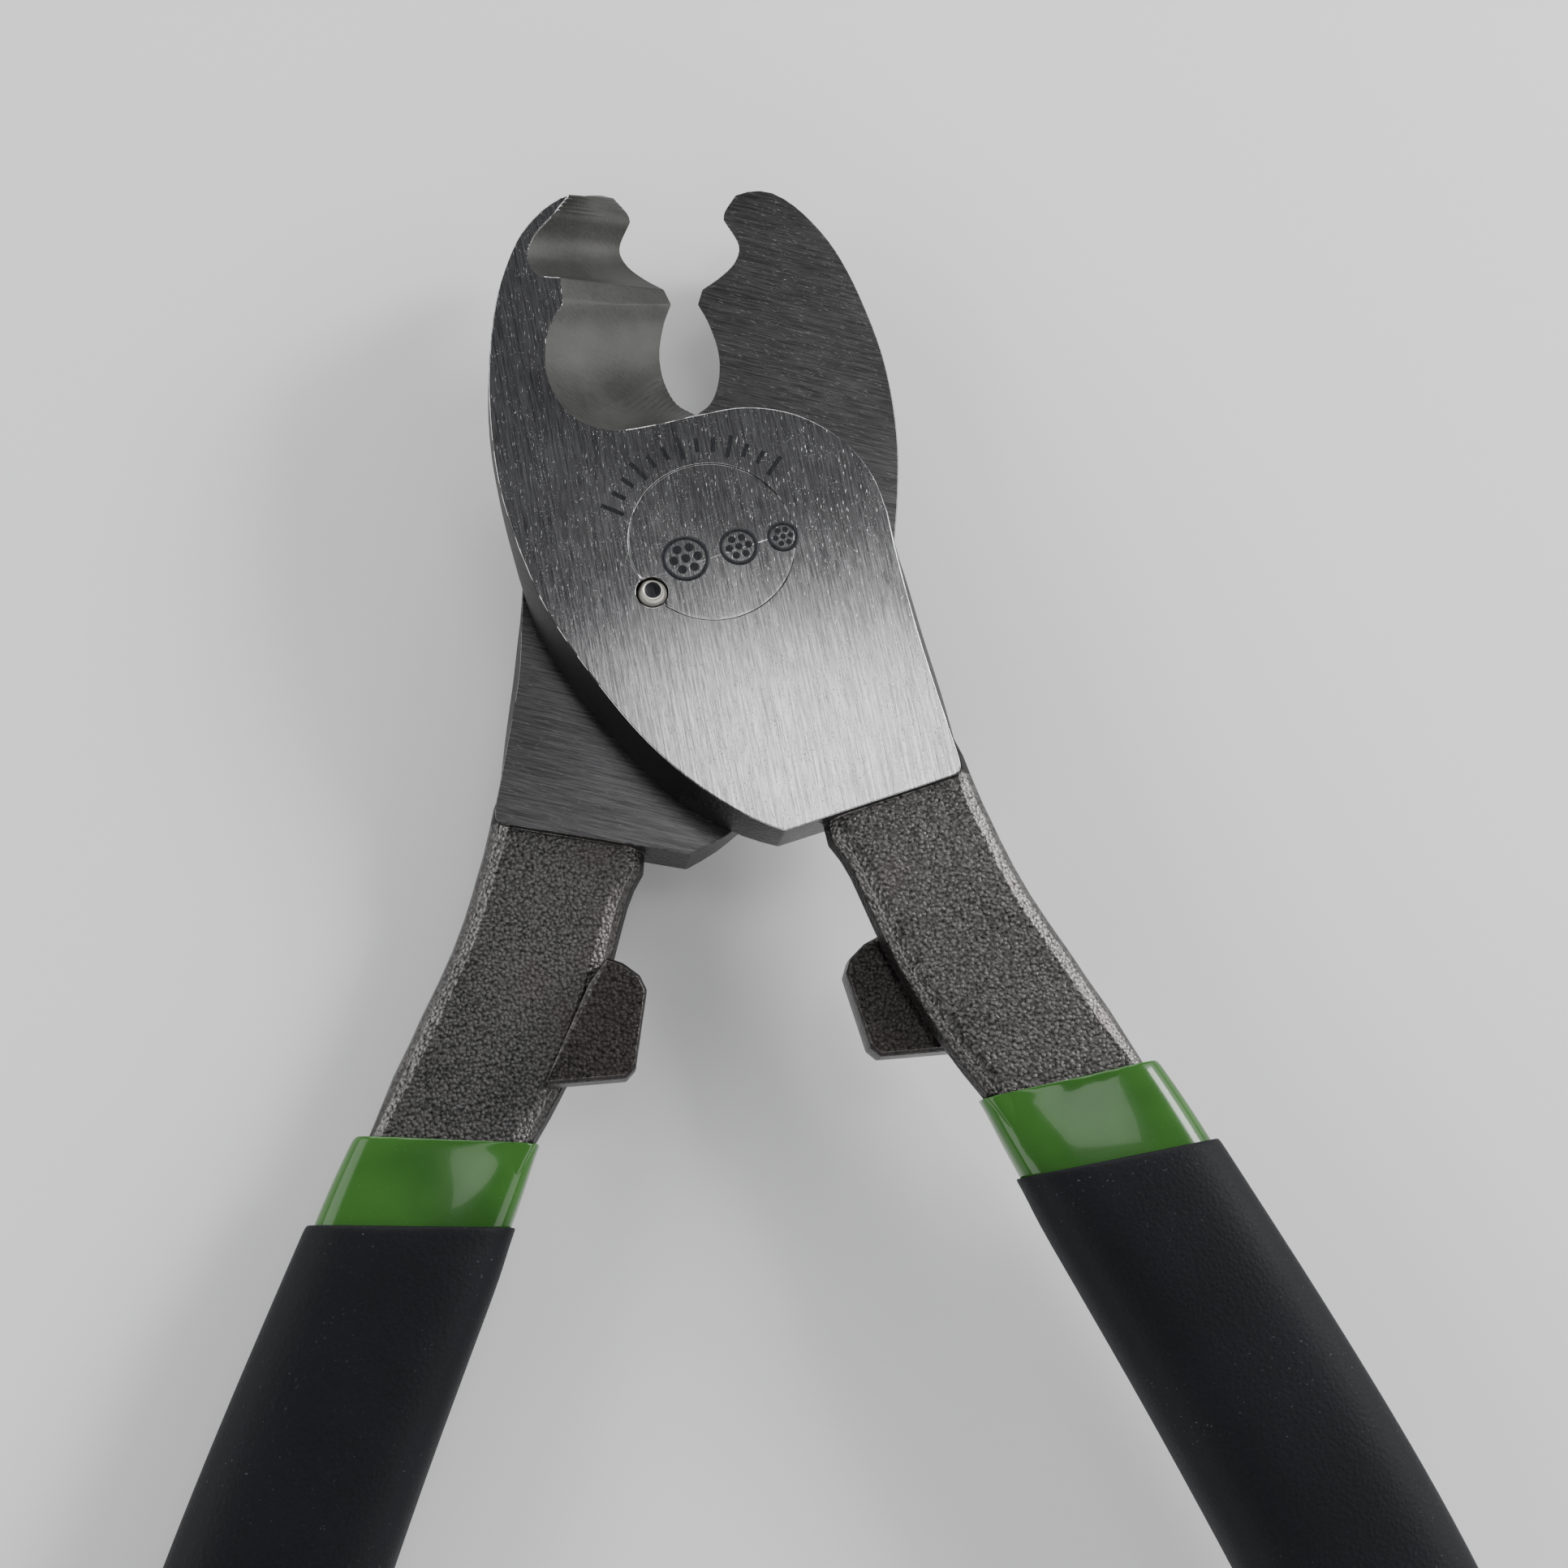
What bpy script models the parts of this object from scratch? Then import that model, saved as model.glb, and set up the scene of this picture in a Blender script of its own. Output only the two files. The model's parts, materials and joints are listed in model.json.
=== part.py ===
"""Hand cable cutters with two hollow-ground notches, modelled in metres, +Z up.

The tool lies flat with its pivot on the Z axis. +Y runs to the jaw tips and +X to the side of the
front lever's handle. Both levers are the same forging: the rear one is the front one turned half a
turn about the Y axis. The rest pose is half open, each handle 12.5 degrees short of the stop.

Every piece is drawn with the mating plane of the two levers at height 0. The two halves are then
lowered by the thickness of one head, which puts the origin at the centre of the bolt head's face.
"""

import math

import bmesh
import bpy
from mathutils import Vector

MM = 0.001

# Overall sizes
HEAD_THICK = 9.3 * MM          # one lever's ground head, mating face to outer face
TANG_LENGTH = 102.0 * MM       # from the sleeve's top edge to the end of the tang
FIT_GAP = 0.3 * MM             # clearance between pieces that touch
STOP_ANGLE = math.radians(12.5)  # each lever's swing from the rest pose to the stop

# Forged arm and tang
ARM_INSET = 1.5 * MM           # how far the arm's flat sides lie below the head's two faces
FORGING_BULGE = 1.3 * MM       # how far the parting line stands out of the ground faces' edges
ARM_ROUND = 2.6 * MM           # width lost between the parting line and the arm's flat side
TANG_ROUND = 1.4 * MM

# Stop lug, on the mating plane
LUG_THICK = 6.0 * MM
LUG_START = 55.2 * MM          # from the pivot axis to the contact face's near end
LUG_LENGTH = 9.6 * MM
LUG_DRAFT = 0.5 * MM
LUG_ROOT = 9.5 * MM            # from the contact face to the lug's back, inside the arm

# Pivot
BOLT_HEAD_DIA = 20.0 * MM
BOLT_HEAD_THICK = 3.4 * MM
JOURNAL_DIA = 12.0 * MM
THREAD_DIA = 9.0 * MM
THREAD_CHAMFER = 0.6 * MM
WASHER_PLAY = 1.0 * MM         # the washer's rim from the counterbore's wall
WASHER_THICK = 0.8 * MM
SPRING_PLAY = 1.3 * MM
SPRING_THICK = 0.8 * MM
SPRING_RISE = 0.4 * MM
NUT_PLAY = 0.6 * MM
NUT_SUNK = 0.3 * MM            # the nut's face below the rear lever's outer face
NUT_SLOT_WIDTH = 2.4 * MM
NUT_SLOT_DEPTH = 1.2 * MM
LOCK_PIN_DIA = 3.4 * MM
LOCK_PIN_LENGTH = 2.2 * MM
LOCK_PIN_SUNK = 0.45 * MM
LOCK_PIN_ANGLE = math.radians(218.0)

# Handle coverings
GRIP_START = 10.8 * MM         # from the sleeve's top edge to the grip's
SLEEVE_END_WALL = 1.6 * MM
GRIP_END_WALL = 3.2 * MM
DIP_SLOPE = math.tan(math.radians(20.0))  # both top edges run nearer the head at the handle's inner side
DIP_FADE = 20.0 * MM           # the rings turn square to the handle over this length

RING_POINTS = 28
CIRCLE_POINTS = 88
EDGE_FINENESS = 2              # spans of the head's edge per span of its stretches

# ------------------------------------------------------------------ plan of the ground head, in mm
# Each stretch of the head's edge: its share of the spans, how far its parting line stands out, its
# line on the mating face and its line on the outer face.
BIG_SCOOP = (
    13, 0.0,
    [(0.0, 21.2), (-2.3, 23.0), (-3.6, 26.4), (-3.8, 30.2), (-2.9, 34.2), (-1.7, 37.1)],
    [(-0.8, 16.9), (-6.0, 15.9), (-11.4, 15.5), (-16.2, 17.7), (-18.8, 22.8), (-18.5, 28.8), (-16.2, 33.1)],
)
MIDDLE_TOOTH = (2, 0.0, [(-1.7, 37.1), (-2.5, 39.3)], [(-16.2, 33.1), (-16.3, 36.8)])
SMALL_SCOOP = (
    9, 0.0,
    [(-2.5, 39.3), (-4.9, 40.9), (-7.1, 43.0), (-7.9, 45.6), (-6.2, 49.4)],
    [(-16.3, 36.8), (-19.0, 37.3), (-20.3, 39.6), (-19.3, 42.6), (-16.9, 45.3)],
)
TIP = (3, 0.0, [(-6.2, 49.4), (-6.5, 50.7), (-8.2, 53.1)], [(-16.9, 45.3), (-15.6, 46.9), (-14.2, 48.5)])
JAW_BACK = (
    18, 0.25,
    [(-8.2, 53.1), (-10.9, 53.7), (-13.9, 52.9), (-17.4, 49.7), (-20.9, 44.4), (-23.7, 37.0), (-25.9, 27.6),
     (-26.5, 17.5), (-25.7, 8.8), (-24.2, 0.4)],
    [(-14.2, 48.5), (-16.0, 47.8), (-18.6, 45.8), (-21.6, 41.8), (-24.4, 34.4), (-25.9, 25.4), (-26.2, 16.5),
     (-25.5, 8.0), (-23.8, 0.6)],
)
BELLY = (
    11, 0.35,
    [(-24.2, 0.4), (-22.4, -6.9), (-18.6, -14.6), (-12.7, -23.2), (-6.5, -30.3), (0.6, -35.2), (5.5, -37.2)],
    [(-23.8, 0.6), (-21.3, -6.7), (-17.4, -14.1), (-11.4, -23.3), (-5.6, -29.8), (0.9, -34.9), (5.5, -37.3)],
)
SHOULDER = (5, 0.0, [(5.5, -37.2), (28.0, -31.7)], [(5.5, -37.3), (26.8, -31.9)])
CORNER = (2, 0.05, [(28.0, -31.7), (28.9, -31.1), (28.9, -29.8)], [(26.8, -31.9), (27.7, -31.2), (27.7, -29.6)])
SPINE = (
    7, FORGING_BULGE / MM,
    [(28.9, -29.8), (26.9, -21.6), (24.9, -12.6), (24.0, -3.6), (23.4, 2.4)],
    [(27.7, -29.6), (25.9, -21.2), (24.2, -12.2), (22.9, -3.2), (22.3, 2.6)],
)
HUB = (
    12, 0.25,
    [(23.4, 2.4), (21.9, 7.4), (18.6, 12.6), (13.4, 17.0), (7.0, 19.6), (0.0, 21.2)],
    [(22.3, 2.6), (20.9, 7.7), (17.6, 12.6), (12.2, 16.3), (5.8, 17.7), (-0.8, 16.9)],
)
HEAD_EDGE = [BIG_SCOOP, MIDDLE_TOOTH, SMALL_SCOOP, TIP, JAW_BACK, BELLY, SHOULDER, CORNER, SPINE, HUB]

# ------------------------------------------------------------------ handle, in mm
# Middle line of the arm and the handle in plan, and the point of it where the sleeve begins
HANDLE_LINE = [(20.4, -27.0), (22.2, -38.0), (25.9, -49.0), (31.2, -59.6), (36.8, -69.3), (47.0, -90.4),
               (58.0, -114.5), (67.6, -138.5), (75.4, -163.5)]
SLEEVE_AT = 4
# Half sizes of each layer: distance from the sleeve's top edge, half width, half thickness
ARM_SIZES = [(-49.0, 6.6), (-43.0, 8.5), (-38.0, 9.1), (-33.0, 9.5), (-12.0, 9.9), (0.0, 9.4), (12.0, 8.7),
             (TANG_LENGTH / MM, 6.3)]
# Extra width on the inner side, where the arm flares into the head
ARM_FILLET = [(-36.5, 1.7), (-34.6, 0.7), (-32.6, 0.15), (-31.0, 0.0)]
SLEEVE_SIZES = [(0.0, 10.2, 3.9), (1.6, 10.6, 4.3), (10.0, 11.0, 5.2), (25.0, 10.8, 5.6),
                (TANG_LENGTH / MM, 8.6, 5.4)]
GRIP_RIM = GRIP_START / MM
GRIP_TAPER = TANG_LENGTH / MM - 17.0
GRIP_SIZES = [(GRIP_RIM, 11.4, 6.4), (GRIP_RIM + 1.8, 11.8, 6.9), (35.0, 12.1, 8.0), (60.0, 12.5, 8.4),
              (GRIP_TAPER, 12.1, 8.0), (TANG_LENGTH / MM, 11.2, 7.4)]
# Rings of the tang and its coverings: shares of the fade near a rim, then shares of the tang. Every
# layer shares the far ones, so the layers keep their clearance.
RIM_STEPS = (0.0, 0.08, 0.25, 0.5, 0.75, 1.0)
TANG_STEPS = (0.3, 0.38, 0.5, 0.62, 0.75, 0.88, 1.0)
RING_APART = 3.0 * MM


# ------------------------------------------------------------------ small tools
def clear_scene():
    for obj in list(bpy.data.objects):
        bpy.data.objects.remove(obj, do_unlink=True)
    for mesh in list(bpy.data.meshes):
        bpy.data.meshes.remove(mesh)


def material(name, colour, roughness, metallic):
    mat = bpy.data.materials.new(name)
    mat.use_nodes = True
    shader = mat.node_tree.nodes["Principled BSDF"]
    shader.inputs["Base Color"].default_value = (*colour, 1.0)
    shader.inputs["Roughness"].default_value = roughness
    shader.inputs["Metallic"].default_value = metallic
    mat.diffuse_color = (*colour, 1.0)
    return mat


def spline_point(points, at):
    """A point of the Catmull-Rom curve through points; at counts spans, and runs straight past the ends."""
    last = len(points) - 1
    if at > last:
        return spline_point(points, last) + (Vector(points[last]) - Vector(points[last - 1])) * (at - last)
    span = min(int(at), last - 1)
    t = at - span
    p1, p2 = Vector(points[span]), Vector(points[span + 1])
    p0 = Vector(points[span - 1]) if span > 0 else p1 * 2 - p2
    p3 = Vector(points[span + 2]) if span + 2 <= last else p2 * 2 - p1
    bend = (2 * p0 - 5 * p1 + 4 * p2 - p3) * t**2 + (3 * p1 - p0 - 3 * p2 + p3) * t**3
    return 0.5 * (2 * p1 + (p2 - p0) * t + bend)


def even_points(points, spans):
    """spans + 1 points spaced evenly along the curve through points."""
    fine = [spline_point(points, i / 24) for i in range(24 * (len(points) - 1) + 1)]
    lengths = [0.0]
    for a, b in zip(fine, fine[1:]):
        lengths.append(lengths[-1] + (b - a).length)
    result = []
    at = 0
    for i in range(spans + 1):
        wanted = lengths[-1] * i / spans
        while at < len(lengths) - 2 and lengths[at + 1] < wanted:
            at += 1
        share = (wanted - lengths[at]) / (lengths[at + 1] - lengths[at])
        result.append(fine[at].lerp(fine[at + 1], share))
    return result


def between(stations, at, column):
    """The value of a column of stations at a distance in metres, straight between stations."""
    place = at / MM
    if place <= stations[0][0]:
        return stations[0][column] * MM
    for low, high in zip(stations, stations[1:]):
        if place <= high[0]:
            share = (place - low[0]) / (high[0] - low[0])
            return (low[column] + (high[column] - low[column]) * share) * MM
    return stations[-1][column] * MM


def mesh_object(name, mesh, mat):
    obj = bpy.data.objects.new(name, mesh)
    bpy.context.scene.collection.objects.link(obj)
    if mat and not mesh.materials:
        mesh.materials.append(mat)
    return obj


def finished(work, name, mat, degrees):
    """The object of a bmesh, with its faces outward and its edges sharp above an angle."""
    bmesh.ops.recalc_face_normals(work, faces=work.faces)
    mesh = bpy.data.meshes.new(name)
    work.to_mesh(mesh)
    work.free()
    mesh.shade_smooth()
    mesh.set_sharp_from_angle(angle=math.radians(degrees))
    return mesh_object(name, mesh, mat)


def loft(name, rings, mat, degrees=40, closed=False):
    """A body through rings of equally many points, capped at its ends, or joined last to first."""
    work = bmesh.new()
    rows = [[work.verts.new(p) for p in ring] for ring in rings]
    pairs = list(zip(rows, rows[1:]))
    if closed:
        pairs.append((rows[-1], rows[0]))
    else:
        work.faces.new(rows[0])
        work.faces.new(rows[-1])
    for lower, upper in pairs:
        for i in range(len(lower)):
            j = (i + 1) % len(lower)
            work.faces.new((lower[i], lower[j], upper[j], upper[i]))
    return finished(work, name, mat, degrees)


def circle(radius, height):
    turns = [math.tau * i / CIRCLE_POINTS for i in range(CIRCLE_POINTS)]
    return [(radius * math.cos(turn), radius * math.sin(turn), height) for turn in turns]


def turned(name, profile, mat, closed=False):
    """A body turned about the Z axis from (radius, height) pairs."""
    return loft(name, [circle(*pair) for pair in profile], mat, 30, closed)


def block(name, size, centre):
    work = bmesh.new()
    bmesh.ops.create_cube(work, size=1.0)
    for vert in work.verts:
        vert.co = Vector([vert.co[k] * size[k] + centre[k] for k in range(3)])
    return finished(work, name, None, 30)


def as_helper(obj):
    obj.hide_render = True
    obj.display_type = "WIRE"
    return obj


def boolean(obj, other, operation):
    step = obj.modifiers.new(operation.title(), "BOOLEAN")
    step.operation = operation
    step.object = other
    step.solver = "EXACT"


# ------------------------------------------------------------------ forged lever
def head_rings():
    """Three rings of the head: mating face, parting line, outer face."""
    low, high, bulge = [], [], []
    for share, out, lower, upper in HEAD_EDGE:
        spans = share * EDGE_FINENESS
        low += even_points(lower, spans)[:-1]
        high += even_points(upper, spans)[:-1]
        bulge += [out * math.sin(math.pi * (i + 0.5) / spans) ** 0.6 for i in range(spans)]
    count = len(low)
    middle = []
    for i in range(count):
        along = low[(i + 1) % count] - low[i - 1]
        out = Vector((along.y, -along.x)).normalized()
        middle.append((low[i] + high[i]) / 2 + out * bulge[i])
    heights = (FIT_GAP / 2, HEAD_THICK / 2, HEAD_THICK)
    return [[(p.x * MM, p.y * MM, z) for p in ring] for ring, z in zip((low, middle, high), heights)]


def handle_distances():
    """Distance from the sleeve's top edge for fine steps of the handle's middle line."""
    steps = 20
    spans = len(HANDLE_LINE) + 1
    params = [i / steps for i in range(spans * steps + 1)]
    points = [spline_point(HANDLE_LINE, at) * MM for at in params]
    lengths = [0.0]
    for a, b in zip(points, points[1:]):
        lengths.append(lengths[-1] + (b - a).length)
    zero = lengths[SLEEVE_AT * steps]
    return [(length - zero, point) for length, point in zip(lengths, points)]


HANDLE_POINTS = handle_distances()


def handle_point(distance):
    """A point of the middle line at a distance from the sleeve's top edge."""
    for (near, a), (far, b) in zip(HANDLE_POINTS, HANDLE_POINTS[1:]):
        if distance <= far:
            return a.lerp(b, (distance - near) / (far - near))
    return HANDLE_POINTS[-1][1].copy()


def handle_frame(distance):
    """The middle line's point, the unit vector across it to the outer side, and the one along it."""
    along = (handle_point(distance + MM) - handle_point(distance - MM)).normalized()
    return handle_point(distance), Vector((-along.y, along.x)), along


def arm_thick():
    return HEAD_THICK - 2 * ARM_INSET


def arm_section(distance, rounding, shrink=1.0):
    """A forging's section: widest on the parting line, drafted and rounded to its flat sides."""
    point, across, _ = handle_frame(distance)
    half = between(ARM_SIZES, distance, 1)
    fillet = between(ARM_FILLET, distance, 1)
    side = [(0.0, 0.0), (0.16, 0.5), (0.5, 0.84), (1.0, 1.0)]
    right = [(half - rounding * cut, rise) for cut, rise in side]
    left = [(-u - fillet, v) for u, v in reversed(right)]
    quarter = right + left
    under = [(u, -v) for u, v in reversed(quarter[1:-1])]
    ring = []
    for u, v in quarter + under:
        plan = point + across * u * shrink
        ring.append((plan.x, plan.y, HEAD_THICK / 2 + v * shrink * arm_thick() / 2))
    return ring


def layer_rings(start):
    """Distances of a layer's rings, from its rim to the end of the tang."""
    near = [start + DIP_FADE * share for share in RIM_STEPS]
    far = [TANG_LENGTH * share for share in TANG_STEPS]
    return near + [distance for distance in far if distance > near[-1] + RING_APART]


def make_arm(mat):
    near = (-49.0, -46.0, -43.0, -40.5, -38.0, -36.4, -34.6, -32.6, -30.0, -26.0, -21.5, -17.0, -12.5, -8.0,
            -4.0)
    rings = [arm_section(distance * MM, ARM_ROUND) for distance in near]
    rings += [arm_section(distance, TANG_ROUND) for distance in layer_rings(0.0)[2:-1]]
    rings.append(arm_section(TANG_LENGTH - TANG_ROUND, TANG_ROUND))
    rings.append(arm_section(TANG_LENGTH, TANG_ROUND, 0.8))
    return loft("arm_blank", rings, mat, 30)


def polar(distance, sideways):
    """A plan point at distance from the pivot along the stop's plane, moved sideways into the arm."""
    x = distance * math.sin(STOP_ANGLE) + sideways * math.cos(STOP_ANGLE)
    y = -distance * math.cos(STOP_ANGLE) + sideways * math.sin(STOP_ANGLE)
    return x, y


def make_lug(mat):
    """The stop lug. Its contact face lies in a plane through the pivot axis."""
    end = LUG_START + LUG_LENGTH
    corner_x, corner_y = polar(end, 1.3 * MM)
    foot_y = corner_y - 1.4 * MM
    rings = []
    for rise, draft in ((-1.0, 1.0), (-0.75, 0.15), (0.0, 0.0), (0.75, 0.15), (1.0, 1.0)):
        cut = draft * LUG_DRAFT
        plan = [
            polar(LUG_START + cut, cut * 0.5 + FIT_GAP / 4),
            polar(end - cut, cut * 0.5 + FIT_GAP / 4),
            (corner_x, foot_y + cut),
            (corner_x + LUG_ROOT, foot_y + cut),
            polar(LUG_START + 0.5 * MM, LUG_ROOT - 2.4 * MM),
            polar(LUG_START - 3.2 * MM + cut, 5.4 * MM),
            polar(LUG_START - 2.8 * MM + cut, 3.4 * MM),
            polar(LUG_START - 1.6 * MM + cut, 1.2 * MM),
        ]
        rings.append([(x, y, rise * LUG_THICK / 2) for x, y in plan])
    return loft("lug_blank", rings, mat, 25)


def recess_floor():
    """Distance of each counterbore's floor from the mating plane."""
    return HEAD_THICK - BOLT_HEAD_THICK - WASHER_THICK - 2 * FIT_GAP


def recess_radius():
    """Radius of each counterbore, which takes the bolt's head in front and the nut behind."""
    return BOLT_HEAD_DIA / 2 + FIT_GAP


def pivot_cutter(name):
    """Bore and counterbore of one lever."""
    bore = JOURNAL_DIA / 2 + FIT_GAP
    recess = recess_radius()
    profile = [(bore, -HEAD_THICK), (bore, recess_floor()), (recess, recess_floor()), (recess, 2 * HEAD_THICK)]
    return as_helper(turned(name, profile, None))


def pin_floor():
    return HEAD_THICK - LOCK_PIN_SUNK - LOCK_PIN_LENGTH - FIT_GAP


def pin_cylinder(name, radius, low, high, mat):
    """A cylinder centred on the rim of the bolt's head."""
    obj = turned(name, [(radius, low), (radius, high)], mat)
    reach = BOLT_HEAD_DIA / 2
    obj.location = (reach * math.cos(LOCK_PIN_ANGLE), reach * math.sin(LOCK_PIN_ANGLE), 0.0)
    return obj


def make_levers(mat, hole):
    """Both levers from one set of blanks. The rear lever is the same forging turned about Y."""
    front = loft("front_lever", head_rings(), mat, 25)
    rear = mesh_object("rear_lever", front.data, mat)
    arm = as_helper(make_arm(mat))
    lug = as_helper(make_lug(mat))
    arm_turned = as_helper(mesh_object("arm_blank_turned", arm.data, mat))
    lug_turned = as_helper(mesh_object("lug_blank_turned", lug.data, mat))
    bore = pivot_cutter("front_bore")
    bore_turned = pivot_cutter("rear_bore")
    for obj in (rear, arm_turned, lug_turned, bore_turned):
        obj.rotation_euler = (0.0, math.pi, 0.0)
    for obj, pieces in ((front, (arm, lug)), (rear, (arm_turned, lug_turned))):
        for piece in pieces:
            boolean(obj, piece, "UNION")
    boolean(front, bore, "DIFFERENCE")
    boolean(front, hole, "DIFFERENCE")
    boolean(rear, bore_turned, "DIFFERENCE")
    return front, rear


# ------------------------------------------------------------------ pivot
def make_bolt(mat, hole, thread_end):
    under_head = HEAD_THICK - BOLT_HEAD_THICK
    thread = THREAD_DIA / 2
    profile = [
        (thread - THREAD_CHAMFER, thread_end),
        (thread, thread_end + THREAD_CHAMFER),
        (thread, -recess_floor()),
        (JOURNAL_DIA / 2, -recess_floor()),
        (JOURNAL_DIA / 2, under_head),
        (BOLT_HEAD_DIA / 2, under_head),
        (BOLT_HEAD_DIA / 2, HEAD_THICK),
    ]
    bolt = turned("pivot_bolt", profile, mat)
    boolean(bolt, hole, "DIFFERENCE")
    return bolt


def ring_profile(inner, outer, low, high, rise=0.0):
    return [(inner, low + rise), (outer, low), (outer, high), (inner, high + rise)]


def make_nut(mat, outer_face, inner_face):
    """A round nut with two crossed slots for its spanner."""
    radius = recess_radius() - NUT_PLAY
    profile = ring_profile(THREAD_DIA / 2 + FIT_GAP, radius, outer_face, inner_face)
    nut = turned("pivot_nut", profile, mat, closed=True)
    for index in range(2):
        size = (4 * radius, NUT_SLOT_WIDTH) if index else (NUT_SLOT_WIDTH, 4 * radius)
        slot = block("nut_slot", (*size, 2 * NUT_SLOT_DEPTH), (0.0, 0.0, outer_face))
        boolean(nut, as_helper(slot), "DIFFERENCE")
    return nut


def make_pivot(hole, steel, bright, dark):
    """Bolt, lock pin, washer, disc spring and nut, from the front face to the rear face."""
    under_head = HEAD_THICK - BOLT_HEAD_THICK
    spring_near = -recess_floor() - FIT_GAP
    spring_far = spring_near - SPRING_THICK - SPRING_RISE
    nut_face = -HEAD_THICK + NUT_SUNK
    bolt = make_bolt(steel, hole, nut_face)
    low = pin_floor() + FIT_GAP
    pin = pin_cylinder("head_lock_pin", LOCK_PIN_DIA / 2, low, low + LOCK_PIN_LENGTH, bright)
    washer_top = under_head - FIT_GAP
    washer = ring_profile(JOURNAL_DIA / 2 + FIT_GAP, recess_radius() - WASHER_PLAY,
                          washer_top - WASHER_THICK, washer_top)
    spring = ring_profile(THREAD_DIA / 2 + FIT_GAP, recess_radius() - SPRING_PLAY,
                          spring_far, spring_far + SPRING_THICK, SPRING_RISE)
    flat = turned("thrust_washer", washer, bright, closed=True)
    disc = turned("disc_spring", spring, dark, closed=True)
    nut = make_nut(steel, nut_face, spring_far - FIT_GAP)
    return bolt, pin, flat, disc, nut


# ------------------------------------------------------------------ handle coverings
def dip_slope(distance):
    """How steeply a ring of the covering slopes, fading to square."""
    return DIP_SLOPE * min(max(1.0 - distance / DIP_FADE, 0.0), 1.0)


def oval(distance, sizes, power, slope=0.0, shrink=1.0, beyond=0.0):
    """A rounded ring round the handle. sizes gives half width and half thickness at a distance."""
    point, across, along = handle_frame(distance)
    ring = []
    for i in range(RING_POINTS):
        turn = math.tau * i / RING_POINTS
        c, s = math.cos(turn), math.sin(turn)
        u = math.copysign(abs(c) ** (2 / power), c)
        v = math.copysign(abs(s) ** (2 / power), s)
        wide, _ = sizes(distance)
        slide = slope * u * wide
        wide, thick = sizes(distance + slide)
        plan = point + across * u * wide * shrink + along * (slide + beyond)
        ring.append((plan.x, plan.y, HEAD_THICK / 2 + v * thick * shrink))
    return ring


def tang_sizes(distance):
    return between(ARM_SIZES, distance, 1) + FIT_GAP, arm_thick() / 2 + FIT_GAP


def sleeve_sizes(distance):
    return between(SLEEVE_SIZES, distance, 1), between(SLEEVE_SIZES, distance, 2)


def sleeve_room(distance):
    wide, thick = sleeve_sizes(distance)
    return wide + FIT_GAP, thick + FIT_GAP


def grip_sizes(distance):
    return between(GRIP_SIZES, distance, 1), between(GRIP_SIZES, distance, 2)


def covering(name, start, inner, outer, powers, end_gap, end_wall, mat):
    """A cup over the handle: its inner surface from the deep end to the rim, then its outer surface back."""
    distances = layer_rings(start)
    rings = [oval(TANG_LENGTH, inner, powers[0], 0.0, 1.0, end_gap)]
    for distance in reversed(distances[:-1]):
        rings.append(oval(distance, inner, powers[0], dip_slope(distance - start)))
    for distance in distances:
        rings.append(oval(distance, outer, powers[1], dip_slope(distance - start)))
    reach = end_gap + end_wall
    for share, shrink in ((0.45, 0.96), (0.8, 0.84), (1.0, 0.62)):
        rings.append(oval(TANG_LENGTH, outer, powers[1], 0.0, shrink, reach * share))
    return loft(name, rings, mat, 50)


def make_coverings(green, black):
    """Dipped sleeve and grip of the front handle, and the same meshes turned about Y for the rear one."""
    sleeve_reach = FIT_GAP + SLEEVE_END_WALL
    sleeve = covering("front_sleeve", 0.0, tang_sizes, sleeve_sizes, (9.0, 3.4), FIT_GAP, SLEEVE_END_WALL, green)
    grip = covering("front_grip", GRIP_START, sleeve_room, grip_sizes, (3.4, 2.9),
                    sleeve_reach + FIT_GAP, GRIP_END_WALL, black)
    turned_over = []
    for name, source, mat in (("rear_sleeve", sleeve, green), ("rear_grip", grip, black)):
        copy = mesh_object(name, source.data, mat)
        copy.rotation_euler = (0.0, math.pi, 0.0)
        turned_over.append(copy)
    return [sleeve, grip], turned_over


def main():
    clear_scene()
    forged = material("forged_steel", (0.085, 0.080, 0.078), 0.5, 0.9)
    steel = material("bolt_steel", (0.30, 0.30, 0.31), 0.35, 1.0)
    bright = material("pin_steel", (0.62, 0.60, 0.54), 0.4, 1.0)
    dark = material("spring_steel", (0.12, 0.12, 0.13), 0.45, 1.0)
    green = material("green_dip", (0.035, 0.145, 0.025), 0.12, 0.0)
    black = material("black_dip", (0.012, 0.013, 0.016), 0.6, 0.0)
    hole = pin_cylinder("pin_hole", LOCK_PIN_DIA / 2 + FIT_GAP, pin_floor(), 2 * HEAD_THICK, None)
    as_helper(hole)
    front, rear = make_levers(forged, hole)
    pivot = make_pivot(hole, steel, bright, dark)
    front_cover, rear_cover = make_coverings(green, black)
    helpers = [obj for obj in bpy.context.scene.objects if obj.hide_render]
    for name, pieces in (
        ("front_half", [front, *pivot, *front_cover, *helpers]),
        ("rear_half", [rear, *rear_cover]),
    ):
        hinge = bpy.data.objects.new(name, None)
        hinge.location.z = -HEAD_THICK
        bpy.context.scene.collection.objects.link(hinge)
        for piece in pieces:
            piece.parent = hinge


main()
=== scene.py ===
"""Looks of a pair of hand cable cutters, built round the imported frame.

The frame gives every place: the origin is the centre of the pivot bolt's head on the ground front
face, +Z runs out of that face, +Y to the jaw tips and +X to the side of the front lever's handle.
Sizes are in millimetres where a name or a field says so, and in metres everywhere else.
"""

import sys
import json
import logging
import math
from collections.abc import Mapping, Sequence
from dataclasses import dataclass, field
from enum import Enum
from typing import Any

import bmesh
import bpy
from mathutils import Matrix, Vector


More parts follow.
